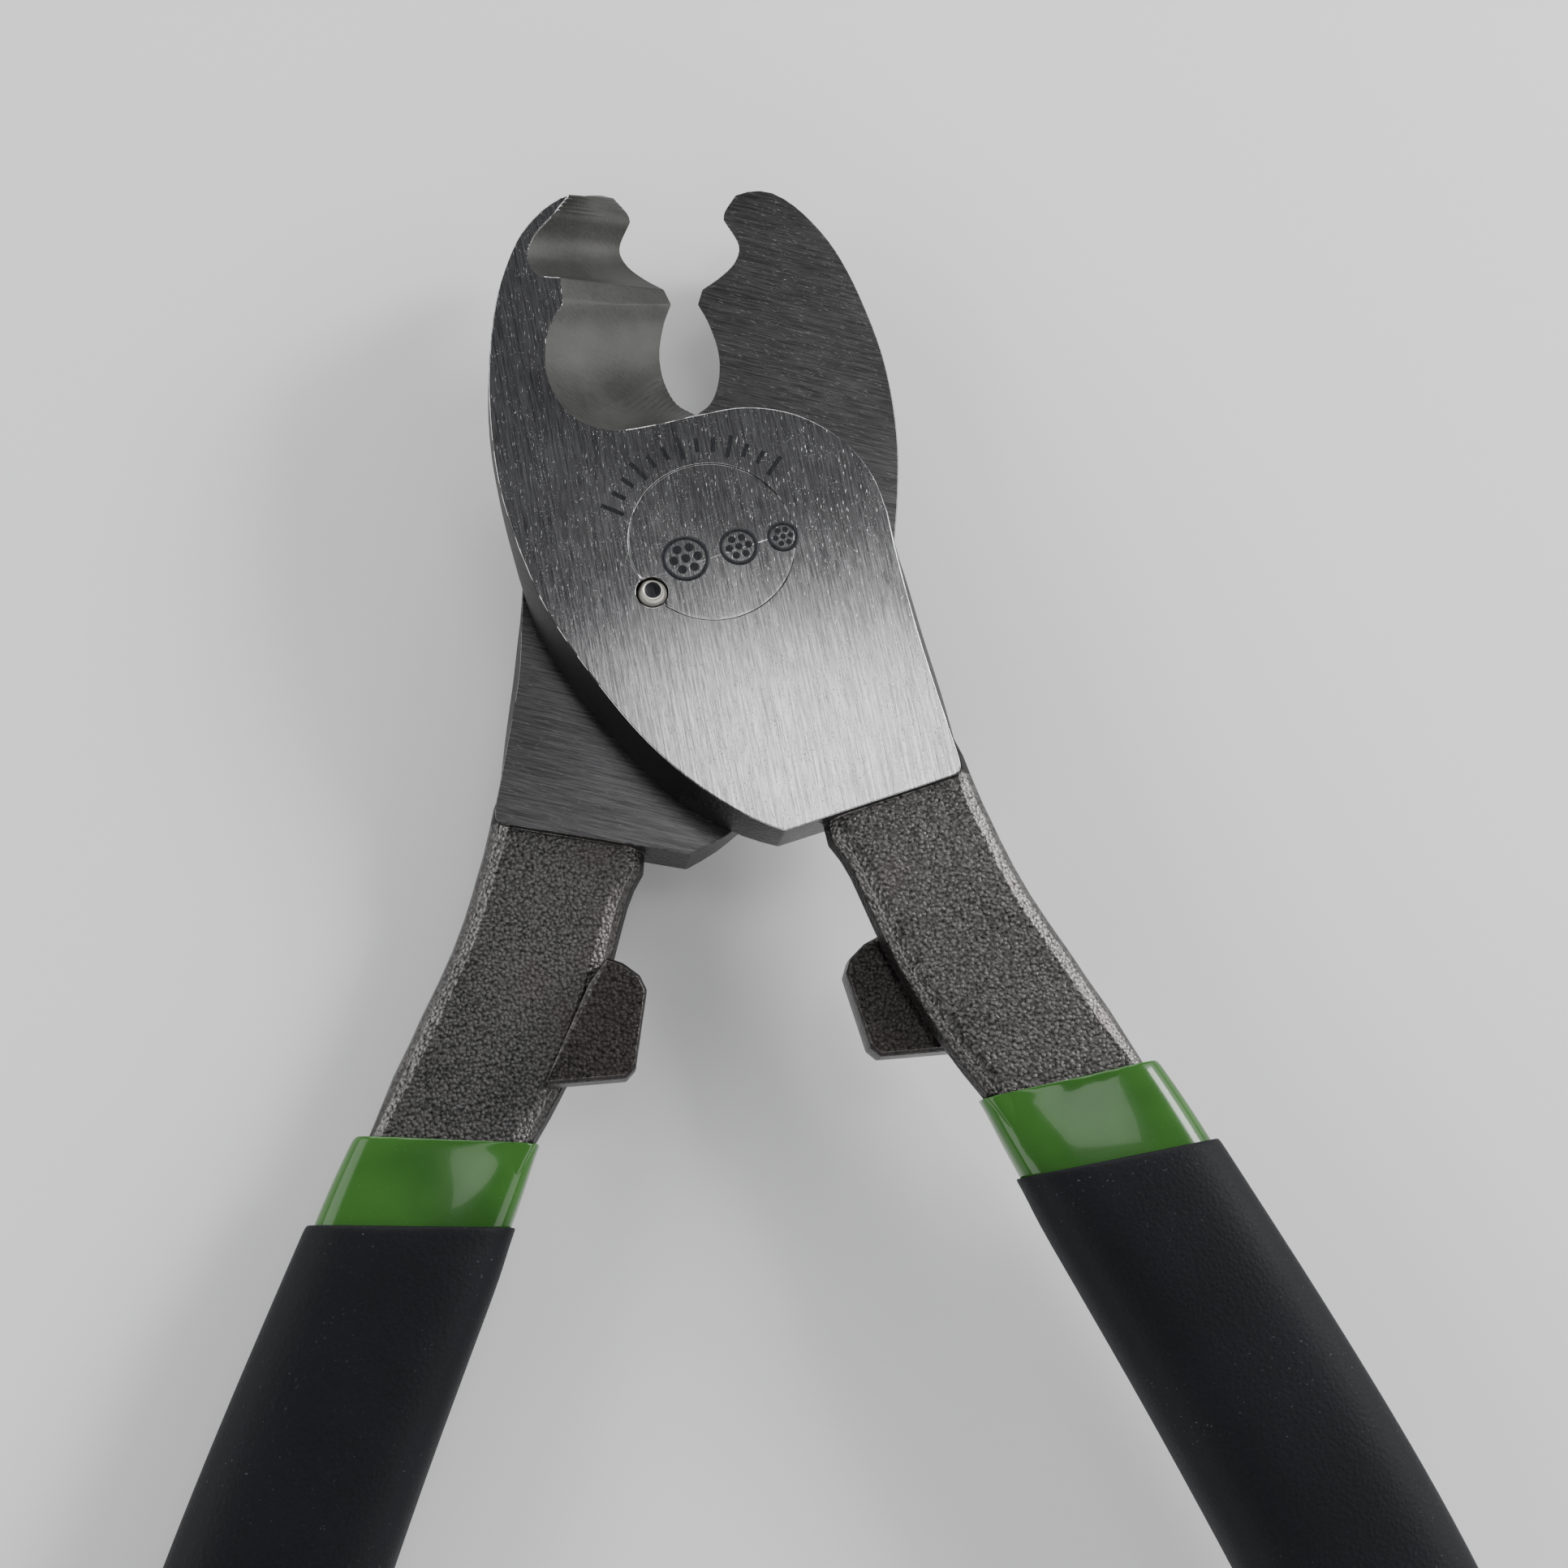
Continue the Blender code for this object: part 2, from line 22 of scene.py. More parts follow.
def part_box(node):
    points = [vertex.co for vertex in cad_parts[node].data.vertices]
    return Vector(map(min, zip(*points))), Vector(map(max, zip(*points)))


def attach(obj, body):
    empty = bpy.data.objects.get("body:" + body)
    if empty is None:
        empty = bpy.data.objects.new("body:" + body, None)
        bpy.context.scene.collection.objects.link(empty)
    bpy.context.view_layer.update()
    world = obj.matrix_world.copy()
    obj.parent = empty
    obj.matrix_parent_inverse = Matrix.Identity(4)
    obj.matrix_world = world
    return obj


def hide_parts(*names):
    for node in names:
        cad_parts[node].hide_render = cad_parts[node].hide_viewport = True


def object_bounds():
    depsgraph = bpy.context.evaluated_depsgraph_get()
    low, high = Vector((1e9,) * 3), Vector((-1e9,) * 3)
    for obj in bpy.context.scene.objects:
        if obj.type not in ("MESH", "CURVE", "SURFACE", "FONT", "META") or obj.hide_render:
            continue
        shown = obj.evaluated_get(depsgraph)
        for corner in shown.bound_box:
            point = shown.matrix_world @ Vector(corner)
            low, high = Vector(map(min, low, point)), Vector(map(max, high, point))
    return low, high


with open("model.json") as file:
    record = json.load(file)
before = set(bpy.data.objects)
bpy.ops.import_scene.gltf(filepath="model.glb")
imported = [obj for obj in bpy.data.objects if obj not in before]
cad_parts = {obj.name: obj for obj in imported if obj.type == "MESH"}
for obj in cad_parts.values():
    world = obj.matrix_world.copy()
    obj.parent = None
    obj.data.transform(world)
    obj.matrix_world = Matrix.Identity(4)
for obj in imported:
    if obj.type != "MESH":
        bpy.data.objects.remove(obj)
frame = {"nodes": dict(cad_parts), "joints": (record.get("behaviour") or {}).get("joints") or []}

CAD_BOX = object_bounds()
MM = 0.001
MATING_PLANE = frame["joints"][0]["pos_m"][2]
WELD = 0.002 * MM
Colour = tuple[float, float, float]
Point = tuple[float, float, float]
log = logging.getLogger("cable_cutters")


# ---------------------------------------------------------------------------- node trees
class Signal:
    """One output socket of a shader tree, with arithmetic that adds Math nodes."""

    def __init__(self, sheet: "Sheet", socket: bpy.types.NodeSocket) -> None:
        """Wrap a socket.

        Args:
            sheet: The tree that the socket belongs to.
            socket: An output socket that carries a number.
        """
        self.sheet = sheet
        self.socket = socket

    def _math(self, operation: str, first: Any, second: Any) -> "Signal":
        """Return the result of a Math node on two values."""
        return self.sheet.add("ShaderNodeMath", {"operation": operation}, {0: first, 1: second})

    def __add__(self, other: Any) -> "Signal":
        """Return self + other."""
        return self._math("ADD", self, other)

    def __radd__(self, other: Any) -> "Signal":
        """Return other + self."""
        return self._math("ADD", other, self)

    def __sub__(self, other: Any) -> "Signal":
        """Return self - other."""
        return self._math("SUBTRACT", self, other)

    def __rsub__(self, other: Any) -> "Signal":
        """Return other - self."""
        return self._math("SUBTRACT", other, self)

    def __mul__(self, other: Any) -> "Signal":
        """Return self * other."""
        return self._math("MULTIPLY", self, other)

    def __rmul__(self, other: Any) -> "Signal":
        """Return other * self."""
        return self._math("MULTIPLY", other, self)

    def over(self, low: float, high: float) -> "Signal":
        """Return a mask that climbs from 0 at low to 1 at high.

        Args:
            low: The value where the mask leaves 0. It may lie above high for a falling mask.
            high: The value where the mask reaches 1.

        Returns:
            The mask.
        """
        return self.sheet.add(
            "ShaderNodeMapRange",
            {"interpolation_type": "SMOOTHSTEP"},
            {"Value": self, "From Min": low, "From Max": high},
        )


class Sheet:
    """A node tree under construction, for a material or for a modifier."""

    def __init__(self, tree: bpy.types.NodeTree) -> None:
        """Start on a tree.

        Args:
            tree: The node tree that nodes are added to.
        """
        self.tree = tree

    def add(
        self,
        kind: str,
        settings: Mapping[str, Any] | None = None,
        inputs: Mapping[int | str, Any] | None = None,
        output: int | str = 0,
    ) -> Signal:
        """Add a node, its settings first and then its sockets.

        Args:
            kind: The node's type.
            settings: Values of the node's own properties.
            inputs: A value, a Signal or nothing for each named or numbered socket.
            output: The output socket to return.

        Returns:
            The chosen output.
        """
        node = self.tree.nodes.new(kind)
        for name, value in (settings or {}).items():
            setattr(node, name, value)
        for key, value in (inputs or {}).items():
            socket = node.inputs[key]
            if isinstance(value, Signal):
                self.tree.links.new(value.socket, socket)
            elif value is not None:
                socket.default_value = value
        return Signal(self, node.outputs[output] if len(node.outputs) else None)


class ShaderSheet(Sheet):
    """A material's tree, with the patterns that the finishes share."""

    def __init__(self, name: str) -> None:
        """Make a material with an empty tree.

        Args:
            name: The material's name.
        """
        self.material = bpy.data.materials.new(name)
        self.material.use_nodes = True
        super().__init__(self.material.node_tree)
        self.tree.nodes.clear()
        self.place = self.add("ShaderNodeTexCoord", output="Object")

    def mapped(self, turn: float, scale: tuple[float, float, float]) -> Signal:
        """Return the object's coordinates, turned about Z and then scaled per axis.

        Args:
            turn: Direction of the pattern's X axis in the plan, in degrees.
            scale: Pattern cells per metre along the three turned axes.

        Returns:
            The coordinates.
        """
        turned = self.add(
            "ShaderNodeVectorRotate",
            {"rotation_type": "Z_AXIS"},
            {"Vector": self.place, "Angle": -math.radians(turn)},
        )
        return self.add("ShaderNodeVectorMath", {"operation": "MULTIPLY"}, {0: turned, 1: scale})

    def noise(
        self, at: Signal, scale: float = 1.0, detail: float = 2.0, rough: float = 0.5
    ) -> Signal:
        """Return a noise from 0 to 1.

        Args:
            at: Coordinates.
            scale: Cells per unit of the coordinates.
            detail: Octaves.
            rough: Share that each octave keeps.

        Returns:
            The noise.
        """
        return self.add("ShaderNodeTexNoise", None, {
            "Vector": at, "Scale": scale, "Detail": detail, "Roughness": rough,
        })

    def cells(self, at: Signal, scale: float = 1.0, random: float = 1.0) -> Signal:
        """Return the distance to the nearest of many scattered points."""
        return self.add("ShaderNodeTexVoronoi", None, {
            "Vector": at, "Scale": scale, "Randomness": random,
        })

    def steepness(self) -> Signal:
        """Return 0 on a surface that lies flat and 1 on one that stands upright."""
        normal = self.add("ShaderNodeTexCoord", output="Normal")
        rise = self.add("ShaderNodeSeparateXYZ", None, {0: normal}, output="Z")
        return 1.0 - rise * rise

    def flecks(self, turn: float, length_mm: float, width_mm: float, pitch_mm: float) -> Signal:
        """Return a mask of short straight scratches.

        Args:
            turn: Their direction in the plan, in degrees.
            length_mm: Length of a scratch.
            width_mm: Width of a scratch.
            pitch_mm: Mean distance between scratches along their length.

        Returns:
            A mask that is 1 on a scratch.
        """
        share = length_mm / pitch_mm / 2
        across = share / width_mm
        at = self.mapped(turn, (1 / (pitch_mm * MM), 2 * across / MM, 1 / (pitch_mm * MM)))
        return self.cells(at).over(share, share * 0.45)

    def blend(self, share: Any, first: Any, second: Any) -> Signal:
        """Return a colour between two, by a share from 0 to 1."""
        start, end = [
            colour if isinstance(colour, Signal) else (*colour, 1.0) for colour in (first, second)
        ]
        ends = {0: share, 6: start, 7: end}
        return self.add("ShaderNodeMix", {"data_type": "RGBA"}, ends, output=2)

    def bump(self, height: Signal, depth_mm: float, strength: float = 1.0) -> Signal:
        """Return a normal that follows a height.

        Args:
            height: Height from 0 to 1.
            depth_mm: What a height of 1 stands for.
            strength: Share of the effect.

        Returns:
            The normal.
        """
        return self.add("ShaderNodeBump", None, {
            "Strength": strength, "Distance": depth_mm * MM, "Height": height,
        })

    def finish(self, sockets: Mapping[str, Any]) -> bpy.types.Material:
        """End the tree in a Principled shader.

        Args:
            sockets: A value or a Signal for each of the shader's named sockets.

        Returns:
            The material.
        """
        shader = self.add("ShaderNodeBsdfPrincipled", None, sockets)
        self.add("ShaderNodeOutputMaterial", None, {"Surface": shader})
        return self.material


# ---------------------------------------------------------------------------- finishes
@dataclass(frozen=True)
class GroundSteel:
    """Tool steel ground flat on a belt, with its grain, handling scratches and stains, and small
    rough specks lightened as painted glints.
    """

    name: str
    grain_turn: float
    light: Colour = (0.50, 0.495, 0.50)
    dark: Colour = (0.15, 0.148, 0.152)
    roughness: float = 0.15
    # Share of the scratches and of the small specks painted as glints, and the pale colour that
    # both are lightened to.
    wear_and_glint: float = 1.0
    bare_and_glint: Colour = (0.80, 0.80, 0.81)
    depth_mm: float = 0.012

    def material(self) -> bpy.types.Material:
        """Return the material."""
        sheet = ShaderSheet(self.name)
        lines = sheet.mapped(self.grain_turn, (420.0, 9500.0, 400.0))
        fine = sheet.noise(lines, detail=3.0, rough=0.65)
        broad = sheet.noise(sheet.mapped(self.grain_turn, (110.0, 3600.0, 100.0)), detail=2.0)
        stain = sheet.noise(sheet.place, 70.0, 3.0, 0.6)
        along = sheet.flecks(self.grain_turn - 7.0, 0.9, 0.07, 2.6)
        askew = sheet.flecks(self.grain_turn + 38.0, 0.8, 0.07, 3.7)
        nicks = sheet.flecks(self.grain_turn - 52.0, 0.5, 0.08, 3.1)
        where = sheet.noise(sheet.place, 95.0, 2.0).over(0.42, 0.62)
        marks = (along * 0.8 + askew * 0.8 * where + nicks * where) * self.wear_and_glint
        crumb = sheet.noise(sheet.mapped(self.grain_turn, (3400.0, 6800.0, 3400.0)), detail=1.0)
        crowd = sheet.noise(sheet.place, 420.0, 2.0)
        # Small rough specks in the grind, lightened in the colour as painted glints.
        specks_and_glints = crumb.over(0.64, 0.74) * crowd.over(0.36, 0.60) * self.wear_and_glint
        tone = fine * 1.15 + broad * 0.9 + stain * 0.25 - 0.68
        colour = sheet.blend(tone.over(0.1, 0.9), self.dark, self.light)
        colour = sheet.blend((marks + specks_and_glints * 0.45).over(0.0, 1.2), colour, self.bare_and_glint)
        height = fine * 0.6 + broad * 0.5 - marks * 0.8 - specks_and_glints * 0.7
        rough = self.roughness + (fine - 0.5) * 0.12 + (stain - 0.5) * 0.08 + (marks + specks_and_glints) * 0.2
        return sheet.finish({
            "Base Color": colour,
            "Metallic": 1.0,
            "Roughness": rough,
            "Normal": sheet.bump(height, self.depth_mm, 0.8),
        })


@dataclass(frozen=True)
class ForgedSteel:
    """Dark forged steel, blasted to an even pebbled skin, with traces of brown scale; the pebbles'
    tops are painted lighter as glints and steep sides painted darker as shade.
    """

    name: str
    light: Colour = (0.200, 0.194, 0.189)
    dark: Colour = (0.022, 0.021, 0.0205)
    scale: Colour = (0.060, 0.034, 0.028)
    # Colour that steep sides are darkened to: painted shade.
    side_shade: Colour = (0.018, 0.016, 0.016)
    roughness: float = 0.34
    pebble_mm: float = 0.50
    depth_mm: float = 0.14

    def material(self) -> bpy.types.Material:
        """Return the material."""
        sheet = ShaderSheet(self.name)
        per_metre = 1 / (self.pebble_mm * MM)
        pebble = sheet.cells(sheet.place, per_metre, 0.9)
        grit = sheet.noise(sheet.place, per_metre * 1.3, 3.0, 0.6)
        swell = sheet.noise(sheet.place, 210.0, 2.0)
        patch = sheet.noise(sheet.place, 60.0, 3.0, 0.6)
        # Painted glints: the pebbles' tops are lightened in the tone, beside the random tone of
        # grit and patches.
        tone = grit * 1.1 + patch * 0.35 + pebble.over(0.75, 0.15) * 0.25 - 0.35
        colour = sheet.blend(tone.over(0.1, 0.85), self.dark, self.light)
        colour = sheet.blend(patch.over(0.52, 0.72) * 0.22, colour, self.scale)
        # Painted shade: steep sides are blended towards a darker colour, as walls that fall in
        # shade.
        colour = sheet.blend(sheet.steepness().over(0.45, 0.8) * 0.8, colour, self.side_shade)
        height = grit * 0.7 + pebble.over(0.9, 0.1) * 0.5 + swell * 0.8
        return sheet.finish({
            "Base Color": colour,
            "Metallic": 0.9,
            "Roughness": self.roughness + (grit - 0.5) * 0.25 + (patch - 0.5) * 0.15,
            "Normal": sheet.bump(height, self.depth_mm, 0.8),
        })


@dataclass(frozen=True)
class HollowGroundSteel:
    """The scoops of the blades: hollow ground, then fine blasted to a satin."""

    name: str
    light: Colour = (0.062, 0.062, 0.059)
    dark: Colour = (0.026, 0.026, 0.025)

    def material(self) -> bpy.types.Material:
        """Return the material."""
        sheet = ShaderSheet(self.name)
        grain = sheet.noise(sheet.mapped(-40.0, (900.0, 4600.0, 2500.0)), detail=3.0, rough=0.65)
        grit = sheet.noise(sheet.place, 5200.0, 2.0)
        shade = sheet.noise(sheet.place, 130.0, 2.0)
        tone = grain * 0.8 + shade * 0.5 - 0.15
        colour = sheet.blend(tone.over(0.1, 0.9), self.dark, self.light)
        return sheet.finish({
            "Base Color": colour,
            "Metallic": 1.0,
            "Roughness": 0.54 + (grain - 0.5) * 0.2,
            "Normal": sheet.bump(grain * 0.6 + grit * 0.4, 0.02, 0.6),
        })


@dataclass(frozen=True)
class TurnedSteel:
    """Lathe-turned steel with fine rings round the pivot axis."""

    name: str
    light: Colour
    dark: Colour
    roughness: float = 0.32

    def material(self) -> bpy.types.Material:
        """Return the material."""
        sheet = ShaderSheet(self.name)
        flat = sheet.add("ShaderNodeVectorMath", {"operation": "MULTIPLY"}, {
            0: sheet.place, 1: (1.0, 1.0, 0.0),
        })
        length = {"operation": "LENGTH"}
        radius = sheet.add("ShaderNodeVectorMath", length, {0: flat}, output="Value")
        rings = sheet.add("ShaderNodeTexNoise", {"noise_dimensions": "1D"}, {
            "W": radius, "Scale": 6500.0, "Detail": 2.0,
        })
        soil = sheet.noise(sheet.place, 260.0, 3.0, 0.6)
        colour = sheet.blend((rings * 0.7 + soil * 0.5 - 0.1).over(0.1, 0.9), self.dark, self.light)
        return sheet.finish({
            "Base Color": colour,
            "Metallic": 1.0,
            "Roughness": self.roughness + (soil - 0.5) * 0.2,
            "Normal": sheet.bump(rings, 0.008, 0.5),
        })


@dataclass(frozen=True)
class GlossDip:
    """Glossy dipped vinyl with the slow unevenness of a run coat and faint rubs."""

    name: str
    light: Colour = (0.036, 0.120, 0.020)
    dark: Colour = (0.022, 0.078, 0.013)

    def material(self) -> bpy.types.Material:
        """Return the material."""
        sheet = ShaderSheet(self.name)
        slow = sheet.noise(sheet.place, 75.0, 2.0)
        peel = sheet.noise(sheet.place, 900.0, 1.0)
        rubs = sheet.flecks(55.0, 1.6, 0.05, 5.5) + sheet.flecks(-35.0, 1.2, 0.05, 6.5)
        dust = sheet.noise(sheet.place, 3800.0, 1.0).over(0.70, 0.78)
        colour = sheet.blend(slow.over(0.3, 0.7), self.dark, self.light)
        return sheet.finish({
            "Base Color": sheet.blend(dust * 0.25, colour, (0.12, 0.20, 0.10)),
            "Roughness": 0.17 + (slow - 0.5) * 0.06 + rubs * 0.12 + dust * 0.2,
            "Coat Weight": 0.20,
            "Coat Roughness": 0.04,
            "Specular IOR Level": 0.20,
            "Normal": sheet.bump(slow * 0.8 + peel * 0.05 - rubs * 0.02, 0.12, 0.5),
        })


@dataclass(frozen=True)
class GrainedDip:
    """Matte black dipped vinyl with a fine pebbled skin and pale dust caught in it."""

    name: str
    light: Colour = (0.0060, 0.0063, 0.0088)
    dark: Colour = (0.0020, 0.0022, 0.0032)

    def material(self) -> bpy.types.Material:
        """Return the material."""
        sheet = ShaderSheet(self.name)
        pebble = sheet.cells(sheet.place, 1900.0)
        grit = sheet.noise(sheet.place, 3400.0, 2.0)
        slow = sheet.noise(sheet.place, 80.0, 3.0)
        dust = sheet.noise(sheet.place, 2600.0, 2.0).over(0.68, 0.76) * slow.over(0.4, 0.65)
        colour = sheet.blend((grit * 0.7 + slow * 0.5 - 0.1).over(0.1, 0.9), self.dark, self.light)
        return sheet.finish({
            "Base Color": sheet.blend(dust * 0.6, colour, (0.10, 0.10, 0.11)),
            "Roughness": 0.60 + (grit - 0.5) * 0.2 + (slow - 0.5) * 0.12,
            "Specular IOR Level": 0.16,
            "Normal": sheet.bump(grit * 0.5 + pebble.over(0.8, 0.1) * 0.6, 0.05, 0.75),
        })


@dataclass(frozen=True)
class EtchedMark:
    """Laser-darkened steel: matte, charcoal, still showing the grinding under it."""

    name: str
    grain_turn: float

    def material(self) -> bpy.types.Material:
        """Return the material."""
        sheet = ShaderSheet(self.name)
        lines = sheet.mapped(self.grain_turn, (700.0, 8000.0, 400.0))
        grain = sheet.noise(lines, detail=3.0, rough=0.65)
        wear = sheet.noise(sheet.place, 900.0, 3.0, 0.7)
        colour = sheet.blend(grain.over(0.35, 0.75), (0.012, 0.0125, 0.015), (0.042, 0.043, 0.047))
        colour = sheet.blend(wear.over(0.66, 0.78) * 0.5, colour, (0.20, 0.20, 0.21))
        return sheet.finish({
            "Base Color": colour,
            "Metallic": 0.6,
            "Roughness": 0.50 + (grain - 0.5) * 0.3,
            "Specular IOR Level": 0.25,
            "Normal": sheet.bump(grain, 0.01, 0.4),
        })


@dataclass(frozen=True)
class PaleFloor:
    """A plain pale sheet to lay the tool on."""

    name: str
    colour: Colour = (0.86, 0.86, 0.86)

    def material(self) -> bpy.types.Material:
        """Return the material."""
        sheet = ShaderSheet(self.name)
        slow = sheet.noise(sheet.place, 3.0, 2.0)
        pale = tuple(part * 0.985 for part in self.colour)
        return sheet.finish({
            "Base Color": sheet.blend(slow, pale, self.colour),
            "Roughness": 0.9,
            "Specular IOR Level": 0.1,
        })


class Slot(Enum):
    """The record's material slots."""

    FORGED = "forged_steel"
    BOLT = "bolt_steel"
    PIN = "pin_steel"
    GREEN = "green_dip"
    BLACK = "black_dip"


# Direction of the belt's grain in the plan, in degrees, on the outer faces and on the mating faces
FACE_GRAIN = 96.0
MATING_GRAIN = -18.0


@dataclass
class Finishes:
    """Every material of the object, built once."""

    face: bpy.types.Material = field(init=False)
    mating: bpy.types.Material = field(init=False)
    scoop: bpy.types.Material = field(init=False)
    forged: bpy.types.Material = field(init=False)
    wall: bpy.types.Material = field(init=False)
    lug: bpy.types.Material = field(init=False)
    bolt: bpy.types.Material = field(init=False)
    bright: bpy.types.Material = field(init=False)
    spring: bpy.types.Material = field(init=False)
    green: bpy.types.Material = field(init=False)
    black: bpy.types.Material = field(init=False)
    etched: bpy.types.Material = field(init=False)

    def __post_init__(self) -> None:
        """Build the materials."""
        self.face = GroundSteel("ground_outer_face", FACE_GRAIN).material()
        # The mating face's darker colours are painted shade, a shaded copy of the outer face's
        # ground steel; its rougher, less scratched grind is its own.
        self.mating = GroundSteel(
            "ground_mating_face",
            MATING_GRAIN,
            light=(0.17, 0.167, 0.17),
            dark=(0.060, 0.059, 0.061),
            roughness=0.34,
            wear_and_glint=0.7,
            bare_and_glint=(0.48, 0.48, 0.48),
        ).material()
        self.scoop = HollowGroundSteel("hollow_ground_scoop").material()
        self.forged = ForgedSteel("blasted_forging").material()
        # Side walls: a smoother, darker forging skin, with near-black colours that are painted
        # shade.
        self.wall = ForgedSteel(
            "forged_edge_wall_painted_shade",
            light=(0.040, 0.038, 0.037),
            dark=(0.016, 0.015, 0.015),
            scale=(0.026, 0.018, 0.016),
            side_shade=(0.014, 0.013, 0.013),
            roughness=0.5,
            depth_mm=0.02,
        ).material()
        # Darker colours of the lug: painted shade where the arm shadows it; the brown scale patches
        # are the forging's own.
        self.lug = ForgedSteel(
            "lug_painted_shade",
            light=(0.085, 0.078, 0.074),
            dark=(0.014, 0.013, 0.013),
            scale=(0.048, 0.026, 0.022),
        ).material()
        self.bolt = TurnedSteel(
            "turned_bolt_steel", light=(0.46, 0.46, 0.47), dark=(0.26, 0.26, 0.27)
        ).material()
        self.bright = TurnedSteel(
            "bright_steel", light=(0.80, 0.78, 0.70), dark=(0.52, 0.50, 0.43), roughness=0.38
        ).material()
        self.spring = TurnedSteel(
            "blued_spring_steel", light=(0.13, 0.14, 0.18), dark=(0.06, 0.065, 0.09)
        ).material()
        self.green = GlossDip("glossy_green_dip").material()
        self.black = GrainedDip("grained_black_dip").material()
        # The etched finish is also painted into the lock pin's punch hollow as shade.
        self.etched = EtchedMark("laser_etched_mark_and_pin_hollow_shade", FACE_GRAIN).material()


# ---------------------------------------------------------------------------- mesh tools
def link(name: str, mesh: bpy.types.Mesh) -> bpy.types.Object:
    """Put a mesh in the scene under a name, at the origin."""
    obj = bpy.data.objects.new(name, mesh)
    bpy.context.scene.collection.objects.link(obj)
    return obj


def from_work(name: str, work: bmesh.types.BMesh) -> bpy.types.Object:
    """Turn a bmesh into an object with outward faces.

    Args:
        name: The object's name.
        work: The bmesh, which is freed.

    Returns:
        The object.
    """
    bmesh.ops.remove_doubles(work, verts=work.verts, dist=WELD)
    bmesh.ops.recalc_face_normals(work, faces=work.faces)
    mesh = bpy.data.meshes.new(name)
    work.to_mesh(mesh)
    work.free()
    return link(name, mesh)


def cad_work(node: str) -> bmesh.types.BMesh:
    """Return a copy of a frame node's mesh with its loose triangles sewn together."""
    work = bmesh.new()
    work.from_mesh(frame["nodes"][node].data)
    bmesh.ops.remove_doubles(work, verts=work.verts, dist=WELD)
    return work


def flatten(obj: bpy.types.Object) -> None:
    """Replace an object's mesh with what its modifiers make of it, and drop the modifiers."""
    graph = bpy.context.evaluated_depsgraph_get()
    graph.update()
    mesh = bpy.data.meshes.new_from_object(
        obj.evaluated_get(graph), preserve_all_data_layers=True, depsgraph=graph
    )
    obj.modifiers.clear()
    obj.data = mesh


def soften(obj: bpy.types.Object, width_mm: float, degrees: float, segments: int = 3) -> None:
    """Round an object's sharp edges and shade it smooth between them.

    Args:
        obj: A mesh object.
        width_mm: Width of the rounding.
        degrees: Edges that turn by more than this are rounded.
        segments: Strips across the rounding.
    """
    obj.data.shade_smooth()
    step = obj.modifiers.new("Soften", "BEVEL")
    step.limit_method = "ANGLE"
    step.angle_limit = math.radians(degrees)
    step.width = width_mm * MM
    step.segments = segments
    step.use_clamp_overlap = False
    even = obj.modifiers.new("Even", "WEIGHTED_NORMAL")
    even.mode = "FACE_AREA"
    even.weight = 80
    even.keep_sharp = True
    flatten(obj)


def placed(obj: bpy.types.Object, body: str, slot: Slot, *nodes: str) -> bpy.types.Object:
    """Say what a finished piece rides on and stands for.

    Args:
        obj: The piece.
        body: The frame body that it moves with.
        slot: Its slot in the record; not used.
        *nodes: The frame nodes that it replaces.

    Returns:
        The piece.
    """
    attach(obj, body)
    if nodes:
        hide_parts(*nodes)
    log.info("%s: %d faces, rides on %s", obj.name, len(obj.data.polygons), body)
    return obj


def turned_work(profile: Sequence[tuple[float, float]], around: int) -> bmesh.types.BMesh:
    """Turn a closed profile about the Z axis.

    Args:
        profile: Radius and height of each corner in metres, both ends on the axis.
        around: Steps round the axis.

    Returns:
        The turned body.
    """
    work = bmesh.new()
    corners = [work.verts.new((radius, 0.0, height)) for radius, height in profile]
    edges = [work.edges.new(pair) for pair in zip(corners, corners[1:])]
    bmesh.ops.spin(
        work,
        geom=corners + edges,
        cent=(0, 0, 0),
        axis=(0, 0, 1),
        angle=math.tau,
        steps=around,
        use_merge=True,
    )
    return work


# ---------------------------------------------------------------------------- levers
class Side(Enum):
    """The two halves of the tool, by the name of their body."""

    FRONT = "front_half"
    REAR = "rear_half"


class Region(Enum):
    """The surfaces of a lever, in the order of its material slots."""

    FACE = 0
    MATING = 1
    SCOOP = 2
    FORGED = 3
    WALL = 4
    LUG = 5


